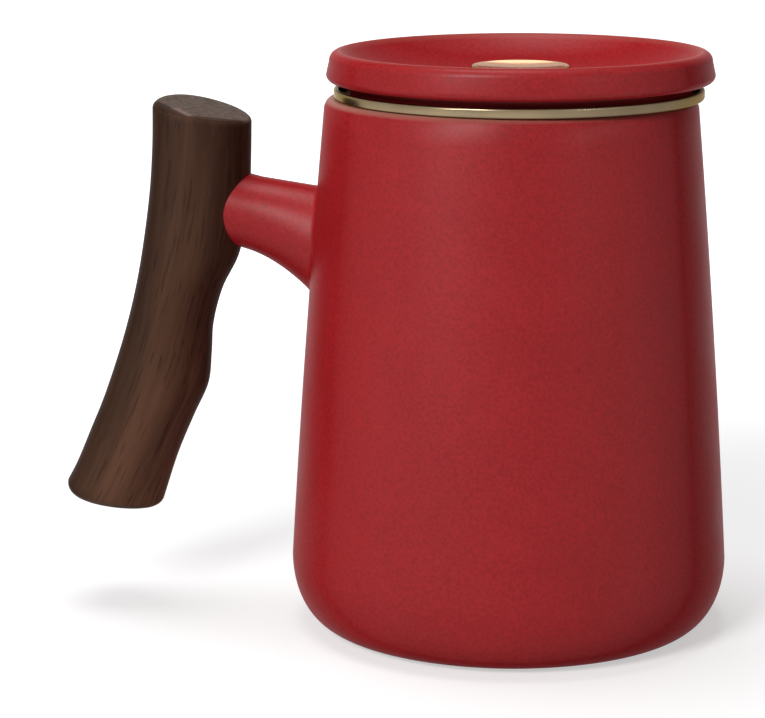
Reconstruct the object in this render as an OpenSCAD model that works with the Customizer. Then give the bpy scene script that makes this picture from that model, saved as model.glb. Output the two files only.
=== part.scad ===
// Lidded tea mug with a lift-out infuser and a side grip.
// Millimetres, +Z up. The origin is the centre of the foot, on the mug's axis.
// The grip points along -X. The infuser hangs in the mouth of the mug and the
// lid rests on the infuser's flange, so each lifts straight up out of the next.
// Both lie loose in their seats and have slid a little away from the grip.

/* [Mug] */
// Widest radius of the mug, a little above its foot
mug_widest_r = 45; // [43:0.5:48]
// Height of the widest level
mug_widest_z = 14; // [9:0.5:18]
// Outer radius of the foot
mug_foot_r = 36.8; // [35:0.1:41]
// Outer radius of the rim
mug_rim_r = 37.7; // [36:0.1:40]
// Height of the rim
mug_rim_z = 109.1; // [100:0.1:120]
// How far the wall bows outside a straight cone
mug_wall_bow = 0.4; // [0:0.1:1.5]
// Thickness of the wall
mug_wall = 4; // [3.4:0.1:5]
// Thickness of the floor above the foot's hollow
mug_floor = 5; // [4:0.5:8]
// Radius of the outer and inner edges of the lip
mug_lip_edge = 1.6; // [0.8:0.1:1.8]
// Inside radius where the wall meets the floor
mug_floor_fillet = 9; // [4:0.5:14]
// Width of the ring that the mug stands on
foot_ring_w = 4; // [3:0.5:7]
// Depth of the hollow inside that ring
foot_hollow = 1.6; // [0.8:0.1:3]

/* [Stub] */
// Distance from the wall to where the stub turns into its round tenon
stub_reach = 13.9; // [11:0.1:18]
// Drop from the rim to the centre of that tenon
stub_drop = 24.8; // [22:0.1:34]
// Radius of the tenon and of the stub's thin end
stub_end_r = 7.65; // [6.5:0.05:8.5]
// Upward slope of the tenon, in degrees
stub_rise = 14; // [8:1:20]
// Extra height of the stub above its axis where it leaves the wall
stub_flare_top = 1.6; // [0:0.1:4]
// Extra depth of the stub below its axis where it leaves the wall
stub_flare_bottom = 6.8; // [2:0.1:10]
// Extra half width of the stub where it leaves the wall
stub_flare_side = 2.4; // [0:0.1:4]
// How far the tenon goes into the grip, past where the stub ends
tenon_len = 6.5; // [5:0.1:8]

/* [Grip] */
// Half depth of the grip, front to back
grip_half_depth = 11.4; // [10.5:0.1:14]
// How egg-shaped the grip's section is, with its narrow side towards the mug
grip_egg = 0.17; // [0:0.01:0.2]
// Radius of the rounded edge of the grip's top face
grip_top_edge = 1.2; // [0.8:0.1:3]
// Radius of the rounded edge of the grip's lower end
grip_low_edge = 2.2; // [1:0.1:3]
// Sideways lean of the grip's top face, in degrees
grip_top_lean = 4; // [0:1:8]
// Clearance round the tenon in the grip's socket
socket_gap = 0.1; // [0.05:0.01:0.3]

/* [Grip fastening] */
// Radius of the steel stud
stud_r = 2.45; // [2:0.05:3]
// Depth of the hole for the stud in the tenon
stud_hole_depth = 15; // [10:0.5:17]
// Thickness of the cement round the stud
cement_t = 1.1; // [0.6:0.1:1.6]
// Length of the threaded insert in the grip
insert_len = 8; // [6:0.5:9]
// Wall of the threaded insert
insert_wall = 1.5; // [1:0.1:2]
// Glue or thread clearance between fastening pieces
fastening_gap = 0.05; // [0.02:0.01:0.1]

/* [Infuser] */
// Thickness of the infuser's steel sheet
sheet = 0.5; // [0.4:0.05:0.8]
// Clearance round the infuser's collar in the mouth of the mug
infuser_gap = 1.9; // [0.6:0.1:2.4]
// How far the infuser has slid away from the grip: 0 is centred, 1 is against the mouth
infuser_slip = 0.8; // [0:0.05:0.85]
// Thickness of the flange that lies on the lip
flange_t = 0.6; // [0.4:0.05:0.8]
// Thickness of the hem round the flange
bead_w = 1; // [0.8:0.1:1.6]
// Height of that hem
bead_h = 2.1; // [1.4:0.1:2.4]
// How far the hem's radius is below the rim's
bead_inset = 0.3; // [0.2:0.1:1]
// Height of the collar below the flange
collar_h = 9; // [6:0.5:12]
// Depth of the infuser below the flange
infuser_depth = 77; // [60:1:85]
// Height of the floor's turned-down edge
floor_edge_h = 3.5; // [2.5:0.5:5]
// Radius of the holes in the wall and the floor
hole_r = 1.1; // [0.8:0.05:1.3]
// Holes in each row round the wall
wall_hole_columns = 30; // [24:1:34]
// Rows of holes up the wall
wall_hole_rows = 9; // [6:1:9]
// Rings of holes in the floor, round the middle one
floor_hole_rings = 4; // [3:1:4]

/* [Lid] */
// How far the lid stands out past the rim
lid_overhang = 1.5; // [0.5:0.1:3]
// Height of the underside of that overhang above the flange
lid_lift = 2.8; // [2.4:0.1:4]
// Height of the lid's outer edge
lid_edge_h = 6.2; // [5.5:0.1:8]
// How far the edge leans in between its lower and upper rounding
lid_edge_lean = 0.6; // [0:0.1:0.8]
// Radius of the edge's lower rounding
lid_low_round = 1.5; // [1:0.1:2]
// Radius of the edge's upper rounding
lid_top_round = 2; // [1.2:0.1:2.4]
// Depth of the dish in the top of the lid
dish_depth = 7.4; // [5:0.1:8]
// Radius of the flat in the middle of the dish
dish_flat_r = 13; // [12:0.5:16]
// How sharply the dish steepens towards its edge
dish_power = 2.5; // [1.5:0.1:3]
// Thickness of the lid's plate
plate_t = 4.3; // [3.5:0.1:5]
// Depth of the spigot below the flange
spigot_depth = 7.1; // [6:0.1:8]
// Thickness of the spigot's ring
spigot_t = 3.5; // [2.5:0.1:5]
// Clearance between the spigot and the wall of the infuser
spigot_gap = 0.6; // [0.3:0.1:1]
// How far the lid has slid inside the infuser: 0 is centred, 1 is against its wall
lid_slip = 0.5; // [0:0.05:0.6]
// Clearance between the lid's land and the hem
land_gap = 2; // [0.8:0.1:2.4]

/* [Knob] */
// Radius of the knob's cap
knob_r = 10; // [9:0.1:11]
// Height of the knob above its gasket
knob_h = 3.8; // [3.6:0.1:5]
// Thickness of the cap at its side
knob_side_h = 1.6; // [1.3:0.1:2]
// Depth of the hollow in the top of the cap
knob_hollow = 0.5; // [0.2:0.1:0.7]
// Radius of the knob's neck
knob_neck_r = 5.2; // [4.6:0.1:6]
// Thickness of the gasket under the knob
gasket_t = 0.6; // [0.4:0.1:1]
// Radius of the screw's shank
screw_r = 1.95; // [1.5:0.05:2.2]
// Depth of the screw in the knob
screw_bite = 2.2; // [1.8:0.1:2.4]
// Radius of the screw's head
screw_head_r = 3.8; // [3.2:0.1:4.2]
// Height of the screw's head
screw_head_h = 2.3; // [1.8:0.1:2.6]
// Radius of the washer under the screw's head
washer_r = 5; // [4.4:0.1:6]
// Thickness of that washer
washer_t = 0.8; // [0.5:0.1:1.2]
// Clearance round the screw in the lid, gasket and washer
screw_gap = 0.35; // [0.2:0.05:0.5]

/* [Hidden] */

round_fn = 96;    // sides of the turned pieces
small_fn = 48;    // sides of small holes and shafts
overcut = 1;      // how far a cutting shape runs past the face that it cuts
red = [0.62, 0.07, 0.08];
walnut = [0.20, 0.11, 0.07];
gold = [0.80, 0.66, 0.42];
steel = [0.62, 0.62, 0.62];

// --- Mug profile ---

// Outer radius of the wall at height z, from the widest level to the rim
function wall_r(z) =
    let (t = (z - mug_widest_z) / (mug_rim_z - mug_widest_z))
    mug_widest_r + (mug_rim_r - mug_widest_r) * t + mug_wall_bow * 4 * t * (1 - t);

// Points of an arc, or a quarter of an ellipse, about a centre
function arc(c, rx, rz, from, to, n) =
    [for (i = [0:n]) let (a = from + (to - from) * i / n) c + [rx * cos(a), rz * sin(a)]];

mouth_r = mug_rim_r - mug_wall;
inner_floor_z = foot_hollow + mug_floor;
foot_round = 0.8;    // rounding of the foot ring's edges
wall_steps = 10;     // straight lengths that follow the wall's bow
low_wall_z = max(mug_widest_z, inner_floor_z + mug_floor_fillet);
low_inner_r = wall_r(low_wall_z) - mug_wall;

function wall_line(from, to, inset) =
    [for (i = [0:wall_steps]) let (z = from + (to - from) * i / wall_steps) [wall_r(z) - inset, z]];

mug_profile = concat(
    [[0, foot_hollow], [mug_foot_r - foot_ring_w - foot_round, foot_hollow]],
    arc([mug_foot_r - foot_ring_w + foot_round, foot_round], foot_round, foot_round, 180, 270, 3),
    arc([mug_foot_r - foot_round, foot_round], foot_round, foot_round, 270, 300, 2),
    arc([mug_foot_r, mug_widest_z], mug_widest_r - mug_foot_r, mug_widest_z - foot_round / 2, -72, -6, 9),
    wall_line(mug_widest_z, mug_rim_z - mug_lip_edge, 0),
    arc([mug_rim_r - mug_lip_edge, mug_rim_z - mug_lip_edge], mug_lip_edge, mug_lip_edge, 18, 90, 5),
    arc([mouth_r + mug_lip_edge, mug_rim_z - mug_lip_edge], mug_lip_edge, mug_lip_edge, 90, 162, 5),
    wall_line(mug_rim_z - mug_lip_edge, low_wall_z, mug_wall),
    arc([low_inner_r - mug_floor_fillet, inner_floor_z + mug_floor_fillet],
        mug_floor_fillet, mug_floor_fillet, -8, -90, 8),
    [[0, inner_floor_z]]);

// --- Handle datum: distances are measured out from the wall and down from the rim ---

stub_z = mug_rim_z - stub_drop;
wall_x = wall_r(stub_z);
stub_end = [wall_x + stub_reach, stub_z];
stub_up = [-sin(stub_rise), cos(stub_rise)];    // across the tenon, upwards
stub_slope = tan(stub_rise);

// A station is [far or upper point, near or lower point, half depth], with points as [reach, height]
function catmull(a, b, c, d, t) =
    0.5 * (2 * b + (c - a) * t + (2 * a - 5 * b + 4 * c - d) * t * t + (3 * b - a - 3 * c + d) * t * t * t);
function blend_at(list, s) =
    let (last = len(list) - 1, i = min(floor(s), last - 1))
    catmull(list[max(i - 1, 0)], list[i], list[i + 1], list[min(i + 2, last)], s - i);

// Ring of points round a station. push moves it along its own normal, round_by draws it in,
// lean tilts it sideways and egg moves its widest level outwards.
function ring(st, n, push = 0, round_by = 0, lean = 0, egg = 0) =
    let (mid = [st[0] + st[2], st[1] + st[3]] / 2,
         half = [st[0] - st[2], st[1] - st[3]] / 2,
         size = norm(half),
         normal = [-half[1], half[0]] / size,
         scale_in = 1 - round_by / size,
         depth = st[4] - round_by)
    [for (i = [0:n - 1])
        let (a = 360 * i / n,
             y = depth * sin(a),
             p = mid + half * scale_in * (cos(a) + egg * pow(sin(a), 2)) + normal * push)
        [-p[0], y, p[1] + y * tan(lean)]];

// Skin over a list of rings, which starts at the end from which they run anticlockwise
module loft(rings) {
    n = len(rings[0]);
    last = len(rings) - 1;
    share = [for (i = [1:n]) 1 / n];
    points = concat([for (r = rings) each r], [share * rings[0], share * rings[last]]);
    faces = concat(
        [for (i = [0:n - 1]) [last * n + n, (i + 1) % n, i]],
        [for (k = [0:last - 1], i = [0:n - 1]) each
            [[k * n + i, k * n + (i + 1) % n, (k + 1) * n + i],
             [k * n + (i + 1) % n, (k + 1) * n + (i + 1) % n, (k + 1) * n + i]]],
        [for (i = [0:n - 1]) [last * n + n + 1, last * n + i, last * n + (i + 1) % n]]);
    polyhedron(points, faces);
}

// Shapes drawn along +Z are laid along the tenon, with z = 0 where the stub ends
module along_tenon() {
    translate([-stub_end[0], 0, stub_end[1]]) rotate([0, stub_rise - 90, 0]) children();
}

// --- Stub, part of the mug's own clay ---

stub_sides = 32;
stub_rings = 10;
stub_root_depth = mug_wall * 0.55;    // the stub starts this deep inside the wall
tenon_step = 0.06;                    // the tenon is this much thicker than the stub's thin end
stub_thin_r = stub_end_r - tenon_step;
stub_high = stub_end + stub_up * stub_thin_r;
stub_low = stub_end - stub_up * stub_thin_r;

// s runs from 0 inside the wall to 1 at the tenon
function stub_station(s) =
    let (root_high_z = stub_high[1] - (stub_high[0] - wall_x) * stub_slope + stub_flare_top,
         root_low_z = stub_low[1] - (stub_low[0] - wall_x) * stub_slope - stub_flare_bottom,
         high_x0 = wall_r(root_high_z) - stub_root_depth,
         low_x0 = wall_r(root_low_z) - stub_root_depth,
         high_x = high_x0 + (stub_high[0] - high_x0) * s,
         low_x = low_x0 + (stub_low[0] - low_x0) * s)
    [high_x, stub_high[1] - (stub_high[0] - high_x) * stub_slope + stub_flare_top * (1 - s),
     low_x, stub_low[1] - (stub_low[0] - low_x) * stub_slope - stub_flare_bottom * pow(1 - s, 2),
     stub_thin_r + stub_flare_side * pow(1 - s, 2)];

module stub() {
    loft([for (k = [stub_rings:-1:0]) ring(stub_station(k / stub_rings), stub_sides)]);
    along_tenon() translate([0, 0, -tenon_step])
        cylinder(h = tenon_len + tenon_step, r = stub_end_r, $fn = round_fn);
}

module mug_body() {
    color(red) difference() {
        union() {
            rotate_extrude($fn = round_fn) polygon(mug_profile);
            stub();
        }
        along_tenon() translate([0, 0, tenon_len - stud_hole_depth])
            cylinder(h = stud_hole_depth + overcut, r = stud_r + cement_t + fastening_gap, $fn = small_fn);
    }
}

// --- Grip ---

// Outer edge and inner edge of the grip, down its length: out from the wall, down from the rim
grip_edges = [
    [34.3, -2.5, 14.1, -6.7],
    [34.5, -11.1, 14.3, -14.1],
    [35.3, -21.1, 14.8, -23.1],
    [37.1, -33.1, 17, -33.6],
    [38.8, -41.6, 20.7, -41.1],
    [40.8, -49.1, 22.8, -48.6],
    [43.2, -56.6, 23.3, -55.1],
    [46.1, -64.6, 24.1, -61.7],
    [49.1, -71.6, 27.3, -68.7],
    [52.1, -78.5, 30.9, -77.1],
    [54.4, -82.7, 34.1, -86.7]];
// Half depth of the grip at those levels, as a share of its full half depth
grip_swell = [0.96, 1, 1.02, 1.02, 1, 0.98, 1, 1.02, 1, 0.98, 0.95];
grip_sides = 32;
grip_rings = 32;
edge_rings = 3;

grip_stations = [for (i = [0:len(grip_edges) - 1])
    let (e = grip_edges[i])
    [wall_x + e[0], mug_rim_z + e[1], wall_x + e[2], mug_rim_z + e[3], grip_half_depth * grip_swell[i]]];

// Lean of a ring's plane: full at the top face, none from the third level down
function grip_lean(s) = grip_top_lean * max(0, 1 - s / 2);

function grip_end_rings(s, way, edge) =
    [for (k = [1:edge_rings]) let (a = 90 * k / edge_rings)
        ring(blend_at(grip_stations, s), grip_sides, way * edge * sin(a),
             edge * (1 - cos(a)), grip_lean(s), grip_egg)];

module grip_wood() {
    last = len(grip_stations) - 1;
    top = grip_end_rings(0, 1, grip_top_edge);
    bottom = grip_end_rings(last, -1, grip_low_edge);
    body = [for (k = [grip_rings:-1:0]) let (s = last * k / grip_rings)
        ring(blend_at(grip_stations, s), grip_sides, lean = grip_lean(s), egg = grip_egg)];
    loft(concat([for (k = [edge_rings - 1:-1:0]) bottom[k]], body, top));
}

socket_depth = tenon_len + 3 * socket_gap;
insert_r = stud_r + fastening_gap + insert_wall;

module grip() {
    color(walnut) difference() {
        grip_wood();
        along_tenon() {
            translate([0, 0, -stub_end_r])
                cylinder(h = socket_depth + stub_end_r, r = stub_end_r + socket_gap, $fn = round_fn);
            cylinder(h = socket_depth + insert_len + fastening_gap, r = insert_r + fastening_gap,
                $fn = small_fn);
        }
    }
}

// --- Fastening between stub and grip ---

module tube(h, outer, inner) {
    difference() {
        cylinder(h = h, r = outer, $fn = small_fn);
        translate([0, 0, -overcut]) cylinder(h = h + 2 * overcut, r = inner, $fn = small_fn);
    }
}

module grip_insert() {
    color(gold) along_tenon() translate([0, 0, socket_depth])
        tube(insert_len, insert_r, stud_r + fastening_gap);
}

module grip_stud() {
    foot = tenon_len - stud_hole_depth + fastening_gap;
    color(steel) along_tenon() translate([0, 0, foot])
        cylinder(h = socket_depth + insert_len - fastening_gap - foot, r = stud_r, $fn = small_fn);
}

module stud_cement() {
    color("ivory") along_tenon() translate([0, 0, tenon_len - stud_hole_depth + fastening_gap])
        tube(stud_hole_depth - fastening_gap, stud_r + cement_t, stud_r + fastening_gap);
}

// --- Infuser ---

collar_r = mouth_r - infuser_gap;        // outside of the collar
basket_r = collar_r - sheet;             // outside of the perforated wall
basket_inner_r = basket_r - sheet;
flange_z = mug_rim_z;                    // the flange lies on the lip
flange_top = flange_z + flange_t;
bead_r = mug_rim_r - bead_inset;         // outside of the hem
bead_round = bead_w / 2;
infuser_base_z = flange_z - infuser_depth;
infuser_x = infuser_slip * infuser_gap;  // how far the infuser stands off the mug's axis

module infuser_rim() {
    color(gold) translate([infuser_x, 0, 0]) rotate_extrude($fn = round_fn) {
        difference() {
            union() {
                translate([basket_r, flange_z - collar_h]) square([sheet, collar_h + flange_t]);
                translate([basket_r, flange_z]) square([bead_r - bead_round - basket_r, flange_t]);
                for (z = [bead_round, bead_h - bead_round])
                    translate([bead_r - bead_round, flange_z + z]) circle(r = bead_round, $fn = small_fn);
                translate([bead_r - bead_w, flange_z + bead_round]) square([bead_w, bead_h - bead_w]);
            }
            translate([basket_r - overcut, flange_top - sheet]) difference() {
                square([sheet + overcut, sheet + overcut]);
                translate([overcut + sheet, 0]) circle(r = sheet, $fn = small_fn);
            }
        }
    }
}

hole_zone_low = infuser_base_z + floor_edge_h + 2.5 + hole_r;
hole_zone_high = flange_z - collar_h - 2.5 - hole_r;
hole_row_step = (hole_zone_high - hole_zone_low) / (wall_hole_rows - 1);

module infuser_wall() {
    color(gold) translate([infuser_x, 0, 0]) difference() {
        translate([0, 0, infuser_base_z]) difference() {
            cylinder(h = infuser_depth - 0.6, r = basket_r, $fn = round_fn);
            translate([0, 0, -overcut])
                cylinder(h = infuser_depth + 2 * overcut, r = basket_inner_r, $fn = round_fn);
        }
        for (row = [0:wall_hole_rows - 1], column = [0:wall_hole_columns - 1])
            translate([0, 0, hole_zone_low + row * hole_row_step])
                rotate([0, 90, (column + (row % 2) / 2) * 360 / wall_hole_columns])
                    translate([0, 0, basket_inner_r - overcut])
                        cylinder(h = sheet + 2 * overcut, r = hole_r, $fn = 24);
    }
}

floor_r = basket_inner_r;
floor_ring_step = (floor_r - 4) / (floor_hole_rings + 0.5);

module infuser_floor() {
    color(gold) translate([infuser_x, 0, infuser_base_z]) difference() {
        cylinder(h = floor_edge_h, r = floor_r, $fn = round_fn);
        translate([0, 0, -sheet]) cylinder(h = floor_edge_h, r = floor_r - sheet, $fn = round_fn);
        translate([0, 0, floor_edge_h - sheet - overcut])
            cylinder(h = sheet + 2 * overcut, r = hole_r, $fn = 24);
        for (k = [1:floor_hole_rings], i = [0:6 * k - 1])
            rotate([0, 0, 360 * i / (6 * k)])
                translate([k * floor_ring_step, 0, floor_edge_h - sheet - overcut])
                    cylinder(h = sheet + 2 * overcut, r = hole_r, $fn = 24);
    }
}

// --- Lid ---

lid_r = mug_rim_r + lid_overhang;
land_z = flange_top;                          // the land rests on the flange
land_r = bead_r - bead_w - land_gap;
overhang_z = land_z + lid_lift;
crest_z = overhang_z + lid_edge_h;
edge_top_r = lid_r - lid_edge_lean;
crest_r = edge_top_r - lid_top_round;
dish_z = crest_z - dish_depth;
plate_z = dish_z - plate_t;                   // underside of the plate
spigot_r = basket_inner_r - spigot_gap;
spigot_inner_r = spigot_r - spigot_t;
spigot_z = flange_z - spigot_depth;
spigot_round = 1;
crest_inner_r = crest_r - 0.4;
lid_x = infuser_x + lid_slip * spigot_gap;    // how far the lid stands off the mug's axis

function dish_height(r) =
    dish_z + (dish_depth - 0.25) * pow(max(0, (r - dish_flat_r) / (crest_inner_r - dish_flat_r)), dish_power);

dish_steps = 12;
dish_line = [for (i = [dish_steps:-1:0])
    let (r = dish_flat_r + (crest_inner_r - dish_flat_r) * i / dish_steps) [r, dish_height(r)]];
plate_line = [for (i = [0:6])
    let (r = dish_flat_r + (spigot_inner_r - dish_flat_r) * i / 6) [r, dish_height(r) - plate_t]];

lid_profile = concat(
    [[0, plate_z]],
    plate_line,
    arc([spigot_inner_r + spigot_round, spigot_z + spigot_round], spigot_round, spigot_round, 180, 270, 4),
    arc([spigot_r - spigot_round, spigot_z + spigot_round], spigot_round, spigot_round, 270, 360, 4),
    [[spigot_r, land_z], [land_r, land_z]],
    [[land_r + 0.4, overhang_z]],
    arc([lid_r - lid_low_round, overhang_z + lid_low_round], lid_low_round, lid_low_round, 270, 360, 6),
    arc([crest_r, crest_z - lid_top_round], lid_top_round, lid_top_round, 0, 90, 7),
    dish_line,
    [[0, dish_z]]);

module lid_dish() {
    color(red) translate([lid_x, 0, 0]) difference() {
        rotate_extrude($fn = round_fn) polygon(lid_profile);
        translate([0, 0, plate_z - overcut])
            cylinder(h = plate_t + 2 * overcut, r = screw_r + screw_gap, $fn = small_fn);
    }
}

// --- Knob and its screw ---

knob_z = dish_z + gasket_t;
knob_edge = 0.5;     // rounding of the cap's edges
knob_top = knob_z + knob_h;
knob_cap_z = knob_top - knob_side_h;
knob_profile = concat(
    [[0, knob_z], [knob_neck_r, knob_z], [knob_neck_r - 0.6, knob_z + 0.8]],
    [[knob_neck_r - 0.6, knob_cap_z - 0.4], [knob_neck_r + 0.4, knob_cap_z]],
    arc([knob_r - knob_edge, knob_cap_z + knob_edge], knob_edge, knob_edge, 270, 360, 4),
    arc([knob_r - knob_edge, knob_top - knob_edge], knob_edge, knob_edge, 0, 90, 4),
    [for (i = [8:-1:0]) let (share = i / 9)
        [(knob_r - knob_edge) * share, knob_top - knob_hollow * (1 - pow(share, 2))]]);

module lid_knob() {
    color(gold) translate([lid_x, 0, 0]) difference() {
        rotate_extrude($fn = round_fn) polygon(knob_profile);
        translate([0, 0, knob_z - overcut])
            cylinder(h = screw_bite + 0.2 + overcut, r = screw_r + fastening_gap, $fn = small_fn);
    }
}

module knob_gasket() {
    color("dimgray") translate([lid_x, 0, dish_z]) tube(gasket_t, knob_neck_r + 0.3, screw_r + screw_gap);
}

module screw_washer() {
    color("dimgray") translate([lid_x, 0, plate_z - washer_t]) tube(washer_t, washer_r, screw_r + screw_gap);
}

drive_r = 1.5;       // hexagon socket in the screw's head
drive_depth = 1.3;

module knob_screw() {
    head_z = plate_z - washer_t - screw_head_h;
    color(steel) translate([lid_x, 0, head_z]) difference() {
        union() {
            cylinder(h = screw_head_h, r = screw_head_r, $fn = small_fn);
            cylinder(h = knob_z + screw_bite - head_z, r = screw_r, $fn = small_fn);
        }
        translate([0, 0, -overcut]) cylinder(h = drive_depth + overcut, r = drive_r, $fn = 6);
    }
}

mug_body();
grip();
grip_insert();
grip_stud();
stud_cement();
infuser_rim();
infuser_wall();
infuser_floor();
lid_dish();
lid_knob();
knob_gasket();
knob_screw();
screw_washer();
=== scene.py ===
# %% [markdown]
# # A lidded tea mug with a lift-out infuser
#
# This lesson dresses a working model of a tea mug. The model already holds every piece at its
# real size: the glazed mug with its clay stub, the walnut grip, the perforated infuser that hangs
# in the mouth, and the dished lid with its low knob. Here each piece gets the surface that it has
# on a real table. Everything is in metres, +Z is up, and the mug stands with the centre of its
# foot at the origin and its grip along -X.

# %% Load the working model
import math

import bmesh
import bpy
from mathutils import Matrix, Vector


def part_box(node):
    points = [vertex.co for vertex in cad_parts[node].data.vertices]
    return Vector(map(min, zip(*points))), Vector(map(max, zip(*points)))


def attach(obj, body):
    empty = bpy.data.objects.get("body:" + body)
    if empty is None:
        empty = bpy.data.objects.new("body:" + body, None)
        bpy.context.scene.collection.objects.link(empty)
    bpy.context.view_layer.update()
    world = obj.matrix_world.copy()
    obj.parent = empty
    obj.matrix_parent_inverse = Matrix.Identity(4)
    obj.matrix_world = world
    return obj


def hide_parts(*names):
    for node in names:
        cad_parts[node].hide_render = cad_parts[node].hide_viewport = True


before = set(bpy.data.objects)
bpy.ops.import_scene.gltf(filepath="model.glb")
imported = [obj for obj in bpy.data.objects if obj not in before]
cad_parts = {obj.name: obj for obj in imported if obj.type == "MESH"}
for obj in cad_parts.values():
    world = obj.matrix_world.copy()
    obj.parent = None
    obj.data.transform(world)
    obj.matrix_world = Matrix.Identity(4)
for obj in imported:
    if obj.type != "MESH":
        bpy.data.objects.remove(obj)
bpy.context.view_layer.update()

print("pieces of the working model:", sorted(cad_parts))

# %% [markdown]
# ## Measures
#
# A potter's drawing is in millimetres, so the script's own sizes are too, and `mm` turns them into
# metres. Sizes that the working model knows, such as the height of the rim, are read from its
# boxes, so the new surfaces can't drift away from it.

# %% Read the main sizes from the model
MM = 0.001


def mm(value):
    return value * MM


def reach(node):
    """Lowest height, highest height and radius of a turned piece, in millimetres."""
    low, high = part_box(node)
    return low.z / MM, high.z / MM, high.y / MM


def offset(node):
    """How far a turned piece stands off the mug's axis, along X, in millimetres."""
    low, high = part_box(node)
    return (low.x + high.x) / 2 / MM


_, RIM_Z, WIDEST_R = reach("mug_body")
_, CREST_Z, LID_R = reach("lid_dish")
_, HEM_TOP, HEM_R = reach("infuser_rim")
KNOB_Z, KNOB_TOP, KNOB_R = reach("lid_knob")
_, _, BASKET_R = reach("infuser_wall")
INFUSER_X = offset("infuser_rim")
LID_X = offset("lid_dish")
print(f"rim at {RIM_Z:.1f} mm, lid crest at {CREST_Z:.1f} mm, widest radius {WIDEST_R:.1f} mm")
print(f"the infuser stands {INFUSER_X:.2f} mm off the axis and the lid {LID_X:.2f} mm")

# %% [markdown]
# ## Turning a profile
#
# Pots, lids and rings are round because they are made on a wheel, a jigger or a lathe. The same
# idea works in mesh code: draw half of the section as a chain of vertices and spin it once round
# the Z axis. `bmesh.ops.spin` with `use_merge` closes the turn, and merging doubles closes the
# poles where a profile starts on the axis. Normals are recalculated because a spin may turn the
# skin inside out.

# %% Helpers that turn a profile and finish a piece
TURN_STEPS = 160
WELD = 0.002             # millimetres: points closer than this are one point
CREASE = math.radians(40)


def arc(centre_r, centre_z, radius_r, radius_z, start, end, steps):
    """Points along part of an ellipse in the half section, angles in degrees."""
    points = []
    for i in range(steps + 1):
        a = math.radians(start + (end - start) * i / steps)
        points.append((centre_r + radius_r * math.cos(a), centre_z + radius_z * math.sin(a)))
    return points


def turned(profile, closed=False, axis_x=0.0):
    """A bmesh of a half section in millimetres, spun round an upright axis at axis_x."""
    bm = bmesh.new()
    verts = [bm.verts.new((mm(axis_x + r), 0, mm(z))) for r, z in profile]
    edges = [bm.edges.new(pair) for pair in zip(verts, verts[1:])]
    if closed:
        edges.append(bm.edges.new((verts[-1], verts[0])))
    bmesh.ops.spin(bm, geom=verts + edges, cent=(mm(axis_x), 0, 0), axis=(0, 0, 1),
                   angle=math.tau, steps=TURN_STEPS, use_merge=True)
    bmesh.ops.remove_doubles(bm, verts=bm.verts, dist=mm(WELD))
    bmesh.ops.recalc_face_normals(bm, faces=bm.faces)
    return bm


def shade(mesh):
    """Smooth shading, sharp only where faces meet at more than the crease angle."""
    mesh.shade_smooth()
    mesh.set_sharp_from_angle(angle=CREASE)


def to_object(name, bm):
    mesh = bpy.data.meshes.new(name)
    bm.to_mesh(mesh)
    bm.free()
    shade(mesh)
    obj = bpy.data.objects.new(name, mesh)
    bpy.context.scene.collection.objects.link(obj)
    return obj


def dress(mesh, finish):
    """Gives a mesh one finish in place of any that it has."""
    mesh.materials.clear()
    mesh.materials.append(finish)


def settle(obj, body, slot, *nodes):
    """Ties a finished piece to its body and hides the solids that it stands for. The slot is not
    used.
    """
    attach(obj, body)
    if nodes:
        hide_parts(*nodes)
    print(f"{obj.name}: {len(obj.data.polygons)} faces, rides on {body}")


# %% [markdown]
# ## Camera
#
# The mug is seen from a little above with a long lens, which keeps its sides nearly parallel. The
# camera stands a little over half a metre away on the mug's front, turned ten degrees.

# %% Place the camera
CAMERA_AT = (0.0718, -0.5578, 0.1735)
CAMERA_DOWN = 0.20784
CAMERA_YAW = math.radians(10)
CAMERA_ROLL = -0.00248
FOCAL_PIXELS = 2784.2
IMAGE_WIDTH = 765

camera_data = bpy.data.cameras.new("camera")
camera = bpy.data.objects.new("camera", camera_data)
camera_data.sensor_width = 36
camera_data.lens = camera_data.sensor_width * FOCAL_PIXELS / IMAGE_WIDTH
camera_data.clip_start = 0.01
camera.matrix_world = (Matrix.Translation(CAMERA_AT)
                       @ Matrix.Rotation(CAMERA_YAW, 4, "Z")
                       @ Matrix.Rotation(math.pi / 2 - CAMERA_DOWN, 4, "X")
                       @ Matrix.Rotation(CAMERA_ROLL, 4, "Z"))
bpy.context.scene.collection.objects.link(camera)
bpy.context.scene.camera = camera
print(f"lens {camera_data.lens:.0f} mm")

# %% [markdown]
# ## Shader helpers
#
# Every finish below is a small node tree. A few helpers keep the trees readable. `add` makes a
# node and fills its sockets, and `new_finish` starts a material with a Principled BSDF in it.
# `fade_shine` is there because a satin surface seen at a slant hides its own shine in its pits.

# %% Helpers for node trees
def add(tree, kind, inputs=None, **settings):
    """A node with its settings and its inputs, which are values or other nodes' outputs."""
    node = tree.nodes.new(kind)
    for name, value in settings.items():
        setattr(node, name, value)
    for name, value in (inputs or {}).items():
        if isinstance(value, bpy.types.NodeSocket):
            tree.links.new(value, node.inputs[name])
        else:
            node.inputs[name].default_value = value
    return node


def new_finish(name, **sockets):
    """A material whose Principled BSDF has these plain values."""
    material = bpy.data.materials.new(name)
    material.use_nodes = True
    tree = material.node_tree
    shader = tree.nodes["Principled BSDF"]
    for key, value in sockets.items():
        shader.inputs[key.replace("_", " ")].default_value = value
    return material, tree, shader


def ramp(tree, factor, stops):
    """A colour ramp fed by a factor, from (place, colour) stops."""
    node = add(tree, "ShaderNodeValToRGB", {"Fac": factor})
    elements = node.color_ramp.elements
    while len(elements) < len(stops):
        elements.new(0.5)
    for element, (place, colour) in zip(elements, stops):
        element.position = place
        element.color = (*colour, 1)
    return node.outputs["Color"]


def grey(value):
    return (value, value, value)


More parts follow.
